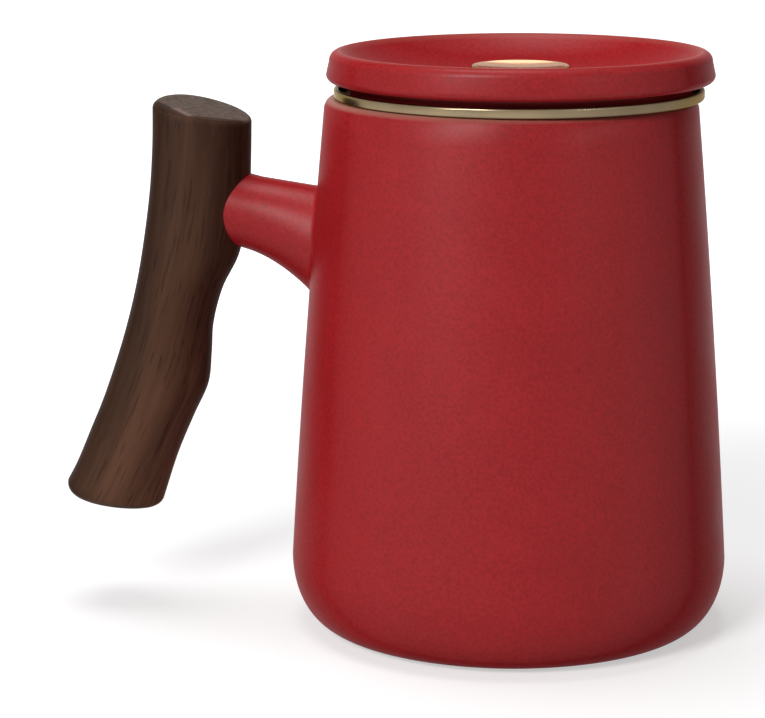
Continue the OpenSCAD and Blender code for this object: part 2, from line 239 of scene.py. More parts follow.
def mix(tree, factor, first, second, blend_type="MIX"):
    """A colour mix of two colours or sockets."""
    node = add(tree, "ShaderNodeMix", {"Factor": factor, 6: first, 7: second},
               data_type="RGBA", blend_type=blend_type)
    return node.outputs[2]


def between(tree, value, low, high, to_low, to_high, **settings):
    """Turns the range low to high of a value into the range to_low to to_high."""
    node = add(tree, "ShaderNodeMapRange",
               {"Value": value, "From Min": low, "From Max": high,
                "To Min": to_low, "To Max": to_high}, **settings)
    return node.outputs["Result"]


def mask(tree, name):
    """A mask that is painted on the vertices under this name."""
    return add(tree, "ShaderNodeAttribute", attribute_name=name).outputs["Fac"]


def bumped(tree, height, strength, distance, **below):
    """The normals of a relief that is distance millimetres deep."""
    node = add(tree, "ShaderNodeBump", {"Strength": strength, "Distance": mm(distance),
                                        "Height": height, **below})
    return node.outputs["Normal"]


SHINE_PLACES = (0.22, 0.50, 0.80)      # from facing the eye to nearly edge on


def fade_shine(tree, shader, levels):
    """Sets the shine at each of the three places, with a smooth change between them."""
    weight = add(tree, "ShaderNodeLayerWeight", {"Blend": 0.5})
    stops = [(place, grey(level)) for place, level in zip(SHINE_PLACES, levels)]
    tree.links.new(ramp(tree, weight.outputs["Facing"], stops),
                   shader.inputs["Specular IOR Level"])


def new_group(name, inputs, outputs):
    """A shader node group with named sockets, its input node and its output node."""
    tree = bpy.data.node_groups.new(name, "ShaderNodeTree")
    for label, kind, default in inputs:
        socket = tree.interface.new_socket(label, in_out="INPUT", socket_type=kind)
        if default is not None:
            socket.default_value = default
    for label, kind in outputs:
        tree.interface.new_socket(label, in_out="OUTPUT", socket_type=kind)
    return tree, tree.nodes.new("NodeGroupInput"), tree.nodes.new("NodeGroupOutput")


# %% [markdown]
# ## A group for fine surface grain
#
# Fired glaze, oiled wood and plated steel all have some grain when seen close: pits and orange
# peel in the glaze, pores in the wood, a faint cloudiness in the plating. One group serves them
# all. It puts out a mask of soft clouds, a mask of fine specks, and a height for a Bump node.

# %% Build the grain group
def build_grain_group():
    tree, given, out = new_group(
        "fine_grain",
        [("Vector", "NodeSocketVector", None),
         ("Cloud Scale", "NodeSocketFloat", 40.0),
         ("Speck Scale", "NodeSocketFloat", 900.0)],
        [("Clouds", "NodeSocketFloat"), ("Specks", "NodeSocketFloat"),
         ("Height", "NodeSocketFloat")])
    clouds = add(tree, "ShaderNodeTexNoise",
                 {"Vector": given.outputs["Vector"], "Scale": given.outputs["Cloud Scale"],
                  "Detail": 3.0, "Roughness": 0.55})
    specks = add(tree, "ShaderNodeTexNoise",
                 {"Vector": given.outputs["Vector"], "Scale": given.outputs["Speck Scale"],
                  "Detail": 2.0, "Roughness": 0.6})
    height = add(tree, "ShaderNodeMath",
                 {0: clouds.outputs["Fac"], 1: specks.outputs["Fac"]}, operation="ADD")
    tree.links.new(clouds.outputs["Fac"], out.inputs["Clouds"])
    tree.links.new(specks.outputs["Fac"], out.inputs["Specks"])
    tree.links.new(height.outputs["Value"], out.inputs["Height"])
    return tree


grain_group = build_grain_group()
print("group:", grain_group.name)


def add_grain(tree, cloud_scale, speck_scale):
    """Places the grain group on Object coordinates in a material."""
    place = add(tree, "ShaderNodeTexCoord")
    node = add(tree, "ShaderNodeGroup", node_tree=grain_group)
    tree.links.new(place.outputs["Object"], node.inputs["Vector"])
    node.inputs["Cloud Scale"].default_value = cloud_scale
    node.inputs["Speck Scale"].default_value = speck_scale
    return node, place


# %% [markdown]
# ## Red glaze
#
# The mug and the lid wear the same satin red glaze. It is opaque, so its colour hardly changes,
# but it isn't flat: it clouds a little where it lay thicker, it carries fine specks, and it is
# lighter on edges, partly because it ran thin there in the kiln and partly as a painted highlight.
# The foot ring is wiped clean so that the mug doesn't stick to the kiln shelf, so bare clay shows
# there.

# %% Mix the glaze
GLAZE_DEEP = (0.292, 0.0105, 0.0130)
GLAZE_LIGHT = (0.325, 0.0135, 0.0165)
# the pale colour of the lip and the crest: thin glaze with a painted highlight in it
GLAZE_THIN_AND_HIGHLIGHT = (0.50, 0.25, 0.185)
BARE_CLAY = (0.50, 0.40, 0.31)
GLAZE_SHINE = (0.20, 0.014, 0.022)
SATIN_ROUGH = (0.36, 0.45)
CLAY_ROUGH = 0.85
GLAZE_CLOUDS = 55.0      # clouds and specks per metre
GLAZE_SPECKS = 1500.0


def build_glaze():
    material, tree, shader = new_finish("red_glaze")
    fade_shine(tree, shader, GLAZE_SHINE)
    grain, _ = add_grain(tree, GLAZE_CLOUDS, GLAZE_SPECKS)
    clouds = grain.outputs["Clouds"]
    body = ramp(tree, clouds, [(0.30, GLAZE_DEEP), (0.72, GLAZE_LIGHT)])
    fleck = between(tree, grain.outputs["Specks"], 0.35, 0.65, 0.86, 1.14)
    flecked = mix(tree, 1.0, body, fleck, "MULTIPLY")
    broken_and_highlit = mix(tree, mask(tree, "thin_glaze_and_highlight"), flecked, (*GLAZE_THIN_AND_HIGHLIGHT, 1))
    bare = mask(tree, "bare_clay")
    whole = mix(tree, bare, broken_and_highlit, (*BARE_CLAY, 1))
    tree.links.new(whole, shader.inputs["Base Color"])
    satin = between(tree, clouds, 0.3, 0.7, *SATIN_ROUGH)
    dry = add(tree, "ShaderNodeMix", {"Factor": bare, 2: satin, 3: CLAY_ROUGH})
    tree.links.new(dry.outputs[0], shader.inputs["Roughness"])
    orange_peel = bumped(tree, grain.outputs["Height"], 0.22, 0.05)
    tree.links.new(orange_peel, shader.inputs["Normal"])
    return material


glaze = build_glaze()
print("finish:", glaze.name)

# %% [markdown]
# ## The mug
#
# A mug like this is slip cast or jiggered: a tapered wall of even thickness, a rounded lip, and a
# belly that turns under to a low foot ring. Its wall bows outwards by less than half a millimetre,
# which is enough to keep it from looking like a cone. The profile runs from the middle of the
# foot's hollow, up the outside, over the lip and down the inside.

# %% Draw the mug's half section
WIDEST_Z = 14.0
FOOT_R = 36.8
RIM_R = 37.7
WALL_BOW = 0.4
WALL = 4.0
LIP_EDGE = 1.6
FLOOR_FILLET = 9.0
FOOT_RING = 4.0
FOOT_HOLLOW = 1.6
FOOT_ROUND = 0.8
INNER_FLOOR_Z = 6.6
WALL_LOW_R = 45.0        # radius of the wall where it is widest
HOLLOW_FLAT_R = 20.0     # flat middle of the foot's hollow
FLOOR_FLAT_R = 18.0      # flat middle of the floor inside
MOUTH_R = RIM_R - WALL


def wall_r(z):
    """Outer radius of the mug's wall at a height, in millimetres."""
    t = (z - WIDEST_Z) / (RIM_Z - WIDEST_Z)
    return WALL_LOW_R + (RIM_R - WALL_LOW_R) * t + WALL_BOW * 4 * t * (1 - t)


WALL_STEPS = 24


def wall_line(low, high, inset):
    """Points up or down the wall, set in from its outside."""
    heights = [low + (high - low) * i / WALL_STEPS for i in range(WALL_STEPS + 1)]
    return [(wall_r(z) - inset, z) for z in heights]


fillet_z = INNER_FLOOR_Z + FLOOR_FILLET
fillet_r = wall_r(fillet_z) - WALL - FLOOR_FILLET
lip_z = RIM_Z - LIP_EDGE
mug_profile = (
    [(0, FOOT_HOLLOW), (HOLLOW_FLAT_R, FOOT_HOLLOW),
     (FOOT_R - FOOT_RING - FOOT_ROUND, FOOT_HOLLOW)]
    + arc(FOOT_R - FOOT_RING + FOOT_ROUND, FOOT_ROUND, FOOT_ROUND, FOOT_ROUND, 180, 270, 6)
    + arc(FOOT_R - FOOT_ROUND, FOOT_ROUND, FOOT_ROUND, FOOT_ROUND, 270, 300, 3)
    + arc(FOOT_R, WIDEST_Z, WIDEST_R - FOOT_R, WIDEST_Z - FOOT_ROUND / 2, -72, -4, 18)
    + wall_line(WIDEST_Z, lip_z, 0)
    + arc(RIM_R - LIP_EDGE, lip_z, LIP_EDGE, LIP_EDGE, 12, 90, 8)
    + arc(MOUTH_R + LIP_EDGE, lip_z, LIP_EDGE, LIP_EDGE, 90, 168, 8)
    + wall_line(lip_z, fillet_z, WALL)
    + arc(fillet_r, fillet_z, FLOOR_FILLET, FLOOR_FILLET, -5, -90, 12)
    + [(FLOOR_FLAT_R, INNER_FLOOR_Z), (0, INNER_FLOOR_Z)])
print(f"mug profile: {len(mug_profile)} points")

# %% [markdown]
# ## The stub
#
# The grip doesn't join the wall directly. A stub of the mug's own clay leaves the wall below the
# rim, thick and low at its root and thinner towards the wood, and its end is a round tenon. It is
# made as a chain of rings: each new ring is extruded from the last one and moved into place. Near
# the wall the rings spread in a small fillet, the way wet clay is smoothed into a joint.

# %% Work out the stub's rings
STUB_REACH = 13.9
STUB_DROP = 24.8
STUB_END_R = 7.65
STUB_RISE = math.radians(14)
FLARE_TOP = 1.6
FLARE_BOTTOM = 6.8
FLARE_SIDE = 2.4
TENON_LENGTH = 6.5
ROOT_DEPTH = 2.2
ROOT_FILLET = 0.5
STUB_SIDES = 64

stub_z = RIM_Z - STUB_DROP
wall_x = wall_r(stub_z)
stub_end = Vector((wall_x + STUB_REACH, stub_z))
stub_up = Vector((-math.sin(STUB_RISE), math.cos(STUB_RISE)))


def stub_station(s):
    """Upper point, lower point and half depth of the stub, from s = 0 in the wall to the tenon."""
    high = stub_end + stub_up * STUB_END_R
    low = stub_end - stub_up * STUB_END_R
    slope = math.tan(STUB_RISE)
    high_x0 = wall_r(high.y - STUB_REACH * slope + FLARE_TOP) - ROOT_DEPTH
    low_x0 = wall_r(low.y - STUB_REACH * slope - FLARE_BOTTOM) - ROOT_DEPTH
    high_x = high_x0 + (high.x - high_x0) * s
    low_x = low_x0 + (low.x - low_x0) * s
    upper = Vector((high_x, high.y - (high.x - high_x) * slope + FLARE_TOP * (1 - s)))
    lower = Vector((low_x, low.y - (low.x - low_x) * slope - FLARE_BOTTOM * (1 - s) ** 2))
    return upper, lower, STUB_END_R + FLARE_SIDE * (1 - s) ** 2


def stub_point(s, angle):
    """A point of the stub's skin, spread near the wall by the root's fillet."""
    upper, lower, depth = stub_station(s)
    middle = (upper + lower) / 2
    half = (upper - lower) / 2
    flat = middle + half * math.cos(angle)
    point = Vector((-flat.x, depth * math.sin(angle), flat.y))
    centre = Vector((-middle.x, 0, middle.y))
    off_wall = math.hypot(point.x, point.y) - wall_r(point.z)
    rest = min(max(off_wall, 0), ROOT_FILLET)
    spread = ROOT_FILLET - math.sqrt(ROOT_FILLET ** 2 - (ROOT_FILLET - rest) ** 2)
    return point + (point - centre).normalized() * spread


# %% [markdown]
# `loft` is the general form of that chain: it starts from one circle, extrudes its rim once for
# each further ring, and closes both ends. The grip uses it too.

# %% A loft made by extruding rings
def loft(rings):
    """A closed bmesh skin over rings of points in millimetres, which all have the same count."""
    bm = bmesh.new()
    sides = len(rings[0])
    bmesh.ops.create_circle(bm, segments=sides, radius=1, cap_ends=False)
    bm.verts.ensure_lookup_table()
    line = list(bm.verts)
    for vert, point in zip(line, rings[0]):
        vert.co = Vector(point) * MM
    edges = list(bm.edges)
    first = edges
    for ring in rings[1:]:
        order = {v: i for i, v in enumerate(line)}
        made = bmesh.ops.extrude_edge_only(bm, edges=edges)["geom"]
        edges = [g for g in made if isinstance(g, bmesh.types.BMEdge)]
        fresh = [g for g in made if isinstance(g, bmesh.types.BMVert)]
        line = [None] * sides
        for vert in fresh:
            source = next(e.other_vert(vert) for e in vert.link_edges
                          if e.other_vert(vert) in order)
            line[order[source]] = vert
        for vert, point in zip(line, ring):
            vert.co = Vector(point) * MM
    for rim in (first, edges):
        cap = bmesh.ops.edgeloop_fill(bm, edges=rim)["faces"]
        bmesh.ops.poke(bm, faces=cap)
    bmesh.ops.recalc_face_normals(bm, faces=bm.faces)
    return bm


def ring_angles(sides):
    return [math.tau * i / sides for i in range(sides)]


def along_tenon(distance):
    """The middle of the tenon's axis at a distance past the end of the stub, in millimetres."""
    flat = stub_end + Vector((math.cos(STUB_RISE), math.sin(STUB_RISE))) * distance
    return Vector((-flat.x, 0, flat.y))


def tenon_ring(distance, radius, sides):
    up = Vector((-stub_up.x, 0, stub_up.y))
    middle = along_tenon(distance)
    return [middle + up * radius * math.cos(a) + Vector((0, 1, 0)) * radius * math.sin(a)
            for a in ring_angles(sides)]


ROOT_STEPS = 26
ROOT_CROWDING = 1.7      # above 1, the rings stand closer together near the wall
TENON_BEVEL = 0.4
stub_rings = [[stub_point((k / ROOT_STEPS) ** ROOT_CROWDING, a) for a in ring_angles(STUB_SIDES)]
              for k in range(ROOT_STEPS)]
stub_rings += [tenon_ring(d, STUB_END_R, STUB_SIDES)
               for d in (0, 2, 4, TENON_LENGTH - TENON_BEVEL)]
stub_rings.append(tenon_ring(TENON_LENGTH, STUB_END_R - TENON_BEVEL, STUB_SIDES))
print(f"stub: {len(stub_rings)} rings")

# %% [markdown]
# The stub and the wall are one piece of clay, so they are fused with a Boolean. A Boolean is safer
# than trying to weld a ring into the wall by hand, and its seam hides in the fillet. It can leave
# slivers, which would make a hole in an exported mesh, so the result is welded. A second Boolean
# drills the hole for the steel stud.

# %% Fuse the stub to the mug and drill it
SLIVER = 0.003           # millimetres: edges shorter than this are welded away
STUD_HOLE_R = 3.6
STUD_HOLE_DEPTH = 15.0


def combine(obj, tool, operation):
    """Applies a Boolean of tool on obj, welds its slivers and removes the tool."""
    modifier = obj.modifiers.new("cut", "BOOLEAN")
    modifier.operation = operation
    modifier.object = tool
    modifier.solver = "EXACT"
    graph = bpy.context.evaluated_depsgraph_get()
    mesh = bpy.data.meshes.new_from_object(obj.evaluated_get(graph))
    obj.modifiers.clear()
    bm = bmesh.new()
    bm.from_mesh(mesh)
    bmesh.ops.remove_doubles(bm, verts=bm.verts, dist=mm(SLIVER))
    bmesh.ops.dissolve_degenerate(bm, edges=bm.edges, dist=mm(SLIVER))
    bm.to_mesh(mesh)
    bm.free()
    obj.data = mesh
    bpy.data.objects.remove(tool)


mug = to_object("glazed_mug", turned(mug_profile))
combine(mug, to_object("stub", loft(stub_rings)), "UNION")
hole_rings = [tenon_ring(TENON_LENGTH + d, STUD_HOLE_R, 48) for d in (-STUD_HOLE_DEPTH, 1.0)]
combine(mug, to_object("stud_hole", loft(hole_rings)), "DIFFERENCE")
shade(mug.data)
print(f"fused mug: {len(mug.data.vertices)} points")

# %% [markdown]
# Two masks are written on the vertices for the glaze to read: where it runs thin on the lip, with a
# painted highlight, and where the clay is bare on the foot. The lip is painted palest on the side
# of the grip, where the key light falls, and darker on the far side, as painted shade.

# %% Paint the mug's masks
LIP_SPREAD = 1.0
LIP_THIN_AND_HIGHLIGHT = 0.60
# painted light and shade round the lip: paler on the lit side of the grip, darker on the other
LIP_LIGHT_AND_SHADE = 0.30   # paler by this much on the side of the grip, darker on the other
WIPED_Z = 0.45


def paint(obj, name, mask):
    """Writes mask(x, y, z), in millimetres, on every vertex."""
    layer = obj.data.attributes.new(name, "FLOAT", "POINT")
    for vert in obj.data.vertices:
        layer.data[vert.index].value = mask(*(c / MM for c in vert.co))


def near(value, place, spread):
    """1 at a place, falling to 0 at spread either side of it."""
    return max(0.0, 1 - abs(value - place) / spread)


# The lip's thin glaze with its painted highlight, lighter on the lit side and shaded on the far
# side
def mug_thin_and_highlight(x, y, z):
    lip = near(z, RIM_Z, LIP_SPREAD) * (1 if math.hypot(x, y) < RIM_R + 1 else 0)
    return (LIP_THIN_AND_HIGHLIGHT - LIP_LIGHT_AND_SHADE * x / RIM_R) * lip


def mug_bare(x, y, z):
    r = math.hypot(x, y)
    on_ring = FOOT_R - FOOT_RING - 0.2 < r < FOOT_R + 0.8
    return 1.0 if z < WIPED_Z and on_ring else 0.0


paint(mug, "thin_glaze_and_highlight", mug_thin_and_highlight)
paint(mug, "bare_clay", mug_bare)
dress(mug.data, glaze)
settle(mug, "mug", "red_glaze", "mug_body")

# %% [markdown]
# ## Walnut
#
# Walnut is dark brown with fine lengthwise streaks and short open pores. On end grain the pores
# are dots and the sawn cut looks greyer. The grain has to follow the grip, which bows away from the
# mug: the pattern's place is bent by the same curve before any noise reads it, and stretched along
# the grip. Three masks that are painted on the grip later tell the finish where painted light and
# shade make the wood paler or darker, where it is sawn, and where an edge carries a painted
# highlight.

# %% Mix the walnut
WALNUT_DARK = (0.025, 0.0106, 0.0064)
WALNUT_MID = (0.053, 0.0245, 0.0148)
WALNUT_LIGHT = (0.087, 0.0415, 0.025)
END_GRAIN = (0.128, 0.091, 0.072)
# the colour of the painted highlight on the top's sanded front edge
EDGE_HIGHLIGHT_COLOUR = (0.250, 0.165, 0.145)
GRIP_BOW = 3.17          # how fast the grip's axis moves away, per metre of drop squared
GRIP_TOP = mm(110)
WALNUT_SHINE = (0.05, 0.006, 0.010)
OILED_ROUGH = (0.42, 0.60)
GRAIN_STRETCH = 0.07     # streaks are about fourteen times as long as they are wide
PORE_SHADE = 0.70
DOT_SHADE = 0.62


def build_walnut():
    material, tree, shader = new_finish("walnut")
    fade_shine(tree, shader, WALNUT_SHINE)
    place = add(tree, "ShaderNodeTexCoord")
    split = add(tree, "ShaderNodeSeparateXYZ", {"Vector": place.outputs["Object"]})
    drop = add(tree, "ShaderNodeMath", {0: GRIP_TOP, 1: split.outputs["Z"]},
               operation="SUBTRACT")
    square = add(tree, "ShaderNodeMath", {0: drop.outputs[0], 1: 2.0}, operation="POWER")
    bow = add(tree, "ShaderNodeMath",
              {0: square.outputs[0], 1: GRIP_BOW, 2: split.outputs["X"]},
              operation="MULTIPLY_ADD")
    straight = add(tree, "ShaderNodeCombineXYZ",
                   {"X": bow.outputs[0], "Y": split.outputs["Y"], "Z": split.outputs["Z"]})
    stretched = add(tree, "ShaderNodeVectorMath",
                    {0: straight.outputs[0], 1: (1, 1, GRAIN_STRETCH)}, operation="MULTIPLY")

    def noise(vector, scale, detail, **more):
        node = add(tree, "ShaderNodeTexNoise",
                   {"Vector": vector.outputs[0], "Scale": scale, "Detail": detail, **more})
        return node.outputs["Fac"]

    streaks = noise(stretched, 260.0, 4.0, Roughness=0.6, Distortion=0.4)
    bands = noise(stretched, 70.0, 2.0)
    fibre = add(tree, "ShaderNodeMix", {"Factor": 0.45, 2: streaks, 3: bands}).outputs[0]
    colour = ramp(tree, fibre, [(0.34, WALNUT_DARK), (0.50, WALNUT_MID), (0.68, WALNUT_LIGHT)])
    open_pore = between(tree, noise(stretched, 1500.0, 1.0), 0.58, 0.68, 1.0, PORE_SHADE)
    pored = mix(tree, 1.0, colour, open_pore, "MULTIPLY")
    # painted light and shade on the wood, from the grip's tone mask
    toned = mix(tree, 1.0, pored, mask(tree, "painted_light_tone"), "MULTIPLY")
    dotted = ramp(tree, noise(straight, 900.0, 2.0),
                  [(0.35, tuple(c * DOT_SHADE for c in END_GRAIN)), (0.60, END_GRAIN)])
    whole = mix(tree, mask(tree, "end_grain"), toned, dotted)
    # a painted highlight on the sanded edge
    highlighted = mix(tree, mask(tree, "edge_highlight"), whole, (*EDGE_HIGHLIGHT_COLOUR, 1))
    tree.links.new(highlighted, shader.inputs["Base Color"])
    tree.links.new(between(tree, streaks, 0.3, 0.7, *OILED_ROUGH), shader.inputs["Roughness"])
    relief = bumped(tree, fibre, 0.35, 0.08)
    tree.links.new(bumped(tree, open_pore, 0.5, 0.06, Normal=relief), shader.inputs["Normal"])
    return material


walnut = build_walnut()
print("finish:", walnut.name)

# %% [markdown]
# ## The grip
#
# The grip is carved from a branch-like blank. It stands upright at the top, then sweeps away from
# the mug, with a waist for the forefinger and a swelling lower down. Both ends are sawn off
# slanting and their edges broken with sandpaper. It is lofted from eleven stations, each with an
# outer point, an inner point and a half depth, and a smooth curve runs through them.

# %% Draw the grip's stations
GRIP_DEPTH = 11.4
GRIP_EGG = 0.17
TOP_EDGE = 1.2
LOW_EDGE = 2.2
TOP_LEAN = 4.0           # degrees that the top face rises towards the back
GRIP_SIDES = 96
GRIP_RINGS = 72
EDGE_RINGS = 6
END_RINGS = 13
END_STEP = 0.55

# Out from the wall and up from the rim: outer edge, then inner edge, then share of the half depth
GRIP_EDGES = [
    (34.3, -2.5, 14.1, -6.7, 0.96),
    (34.5, -11.1, 14.3, -14.1, 1.00),
    (35.3, -21.1, 14.8, -23.1, 1.02),
    (37.1, -33.1, 17, -33.6, 1.02),
    (38.8, -41.6, 20.7, -41.1, 1.00),
    (40.8, -49.1, 22.8, -48.6, 0.98),
    (43.2, -56.6, 23.3, -55.1, 1.00),
    (46.1, -64.6, 24.1, -61.7, 1.02),
    (49.1, -71.6, 27.3, -68.7, 1.00),
    (52.1, -78.5, 30.9, -77.1, 0.98),
    (54.35, -82.7, 34.1, -86.7, 0.95)]
LAST = len(GRIP_EDGES) - 1


def blend(values, s):
    """A smooth curve through evenly spaced values, at place s."""
    i = min(int(s), LAST - 1)
    a, b, c, d = (values[max(0, min(LAST, i + k))] for k in (-1, 0, 1, 2))
    t = s - i
    return 0.5 * (2 * b + (c - a) * t + (2 * a - 5 * b + 4 * c - d) * t * t
                  + (3 * b - a - 3 * c + d) * t ** 3)


def grip_ring(s, push=0.0, draw_in=0.0):
    """One ring of the grip at station s, pushed along its normal and drawn in for a round edge."""
    outer_x, outer_z, inner_x, inner_z, share = (
        blend([e[k] for e in GRIP_EDGES], s) for k in range(5))
    outer = Vector((wall_x + outer_x, RIM_Z + outer_z))
    inner = Vector((wall_x + inner_x, RIM_Z + inner_z))
    middle = (outer + inner) / 2
    half = (outer - inner) / 2
    normal = Vector((-half.y, half.x)).normalized()
    shrink = 1 - draw_in / half.length
    depth = GRIP_DEPTH * share - draw_in
    lean = math.tan(math.radians(TOP_LEAN * max(0, 1 - s / 2)))
    points = []
    for a in ring_angles(GRIP_SIDES):
        across = math.cos(a) + GRIP_EGG * math.sin(a) ** 2
        flat = middle + half * shrink * across + normal * push
        y = depth * math.sin(a)
        points.append(Vector((-flat.x, y, flat.y + y * lean)))
    return points


def grip_end(s, way, edge):
    """Rings that round the sawn edge over, then close in over the flat end."""
    rings = []
    for k in range(1, EDGE_RINGS + 1):
        a = math.pi / 2 * k / EDGE_RINGS
        rings.append(grip_ring(s, way * edge * math.sin(a), edge * (1 - math.cos(a))))
    for k in range(1, END_RINGS + 1):
        rings.append(grip_ring(s, way * edge, edge + END_STEP * k))
    return rings


grip_rings = list(reversed(grip_end(LAST, -1, LOW_EDGE)))
grip_rings += [grip_ring(LAST * k / GRIP_RINGS) for k in range(GRIP_RINGS, -1, -1)]
grip_rings += grip_end(0, 1, TOP_EDGE)
print(f"grip: {len(grip_rings)} rings of {GRIP_SIDES} points")

# %% [markdown]
# The socket is drilled into the finished grip, as it is on the bench: a cylinder along the tenon's
# axis is cut away, a tenth of a millimetre wider than the tenon. A narrower hole behind it takes
# the threaded insert.

# %% Loft the grip and drill its socket
SOCKET_GAP = 0.1
SOCKET_R = STUB_END_R + SOCKET_GAP
SOCKET_DEPTH = TENON_LENGTH + 3 * SOCKET_GAP
INSERT_HOLE_R = 4.1
INSERT_HOLE_DEPTH = 8.1

drill_rings = [tenon_ring(d, r, 64) for d, r in (
    (-6.0, SOCKET_R), (SOCKET_DEPTH, SOCKET_R),
    (SOCKET_DEPTH, INSERT_HOLE_R), (SOCKET_DEPTH + INSERT_HOLE_DEPTH, INSERT_HOLE_R))]
grip = to_object("walnut_grip", loft(grip_rings))
combine(grip, to_object("drill", loft(drill_rings)), "DIFFERENCE")
shade(grip.data)
print(f"drilled grip: {len(grip.data.vertices)} points")

# %% [markdown]
# The grip's masks are worked out from the same stations as its shape. The two ends show sawn end
# grain, except where the front edge of the top is sanded over, and one streak of that edge carries
# a painted highlight.

# %% Work out the masks for the sawn ends
def limited(value):
    """The value, kept between 0 and 1."""
    return min(1.0, max(0.0, value))


def over_end(edge, lean, x, y, z):
    """Height of a point above the sloping plane through a station's two edges."""
    outer_x, outer_z, inner_x, inner_z, _ = edge
    slope = (outer_z - inner_z) / (outer_x - inner_x)
    return z - (RIM_Z + outer_z + (-x - wall_x - outer_x) * slope + y * lean)


# The line along which the top's front edge is sanded: out from the wall, and depth
SANDED_LEFT = Vector((33.9, -2.3))
SANDED_MIDDLE = Vector((25.1, -8.8))
SANDED_RIGHT = Vector((15.7, -3.2))
# where the painted highlight on the sanded edge starts, how strong it is and how wide
HIGHLIGHT_FROM = Vector((28.3, -5.9))
EDGE_HIGHLIGHT = 0.9
HIGHLIGHT_SPREAD = 1.3


def side_of(point, start, end):
    """Distance of a point to the right of the line from start to end."""
    course = (end - start).normalized()
    return (point - start).dot(Vector((-course.y, course.x)))


def on_top(x, y, z):
    top = over_end(GRIP_EDGES[0], math.tan(math.radians(TOP_LEAN)), x, y, z) / TOP_EDGE
    return limited((top - 0.4) / 0.4)


def end_grain(x, y, z):
    """1 on the two sawn ends, 0 on the long sides and where the top's front edge is sanded."""
    place = Vector((-x - wall_x, y))
    behind = min(-side_of(place, SANDED_LEFT, SANDED_MIDDLE),
                 -side_of(place, SANDED_MIDDLE, SANDED_RIGHT))
    low = -over_end(GRIP_EDGES[LAST], 0.0, x, y, z) / LOW_EDGE
    return max(on_top(x, y, z) * limited(behind / 0.7 + 0.5), limited((low - 0.4) / 0.4))


def edge_highlight(x, y, z):
    """A painted highlight: a pale streak on the sanded edge."""
    place = Vector((-x - wall_x, y))
    run = SANDED_MIDDLE - HIGHLIGHT_FROM
    t = limited((place - HIGHLIGHT_FROM).dot(run) / run.length_squared)
    off_streak = (place - HIGHLIGHT_FROM - run * t).length
    return EDGE_HIGHLIGHT * near(off_streak, 0.0, HIGHLIGHT_SPREAD) * on_top(x, y, z)


print("sanded edge:", [tuple(p) for p in (SANDED_LEFT, SANDED_MIDDLE, SANDED_RIGHT)])

# %% [markdown]
# The grip's colour carries painted light and shade: painted shade darkens its outer side, and
# painted light makes it paler towards the mug, most of all low down. The mask is a factor for the
# wood's colour, so it may go past 1.

# %% Paint the grip's masks
# Height, then the factor on the outer side and on the side towards the mug
TONE_ROWS = [(108, 0.70, 1.00), (88, 0.66, 1.08), (70, 0.68, 1.34), (55, 0.66, 1.46),
             (42, 0.60, 1.92), (28, 0.80, 2.30)]
TONE_FROM = 0.18         # the change starts here, as a share of the way to the mug's side
TONE_OVER = 0.46


def line_at(points, place):
    """Straight lines through (place, value) points that run downwards."""
    for (high, a), (low, b) in zip(points, points[1:]):
        if place > low:
            break
    return a + (b - a) * limited((high - place) / (high - low))


def painted_light_tone(x, y, z):
    """Painted light and shade on the wood: dark on the outer side, palest low down on the side to
    the mug.
    """
    outer = line_at([(RIM_Z + e[1], -wall_x - e[0]) for e in GRIP_EDGES], z)
    inner = line_at([(RIM_Z + e[3], -wall_x - e[2]) for e in GRIP_EDGES], z)
    t = limited(((x - outer) / (inner - outer) - TONE_FROM) / TONE_OVER)
    t = t * t * (3 - 2 * t)
    dark = line_at([(row[0], row[1]) for row in TONE_ROWS], z)
    pale = line_at([(row[0], row[2]) for row in TONE_ROWS], z)
    return dark + (pale - dark) * t


for grip_mask in (end_grain, edge_highlight, painted_light_tone):
    paint(grip, grip_mask.__name__, grip_mask)
dress(grip.data, walnut)
settle(grip, "mug", "walnut", "grip")

# %% [markdown]
# ## Gold plate
#
# The infuser and the knob are stainless steel with a pale champagne-gold plate. A polished metal
# takes nearly all its look from what it reflects, so its own nodes stay quiet: a slight
# cloudiness in the roughness from handling, and fine turning lines round the axis. A mask of
# painted shade turns the metal dark brown and dull in the narrow channel inside the rim's hem, and
# a little darker on the side away from the grip. Seen at a slant, a metal turns to white unless its
# tint for grazing light says otherwise.

# %% Mix the gold plate and the plain metals
# GOLD and GOLD_DULL are darker than champagne gold really is: painted shade, so that the white
# studio reflects in them as dimly as a room would
GOLD = (0.235, 0.180, 0.108)
GOLD_DULL = (0.190, 0.145, 0.089)
# the colour of the painted shade in the hem's channel
SHADE_COLOUR = (0.030, 0.016, 0.010)
SHADE_ROUGH = 0.6
GRAZING_TINT = (0.66, 0.56, 0.40)
KNOB_TINT = (0.88, 0.57, 0.42)
METAL_CLOUDS = 90.0      # clouds and specks per metre
METAL_SPECKS = 2500.0
TURNING_LINES = 6000.0


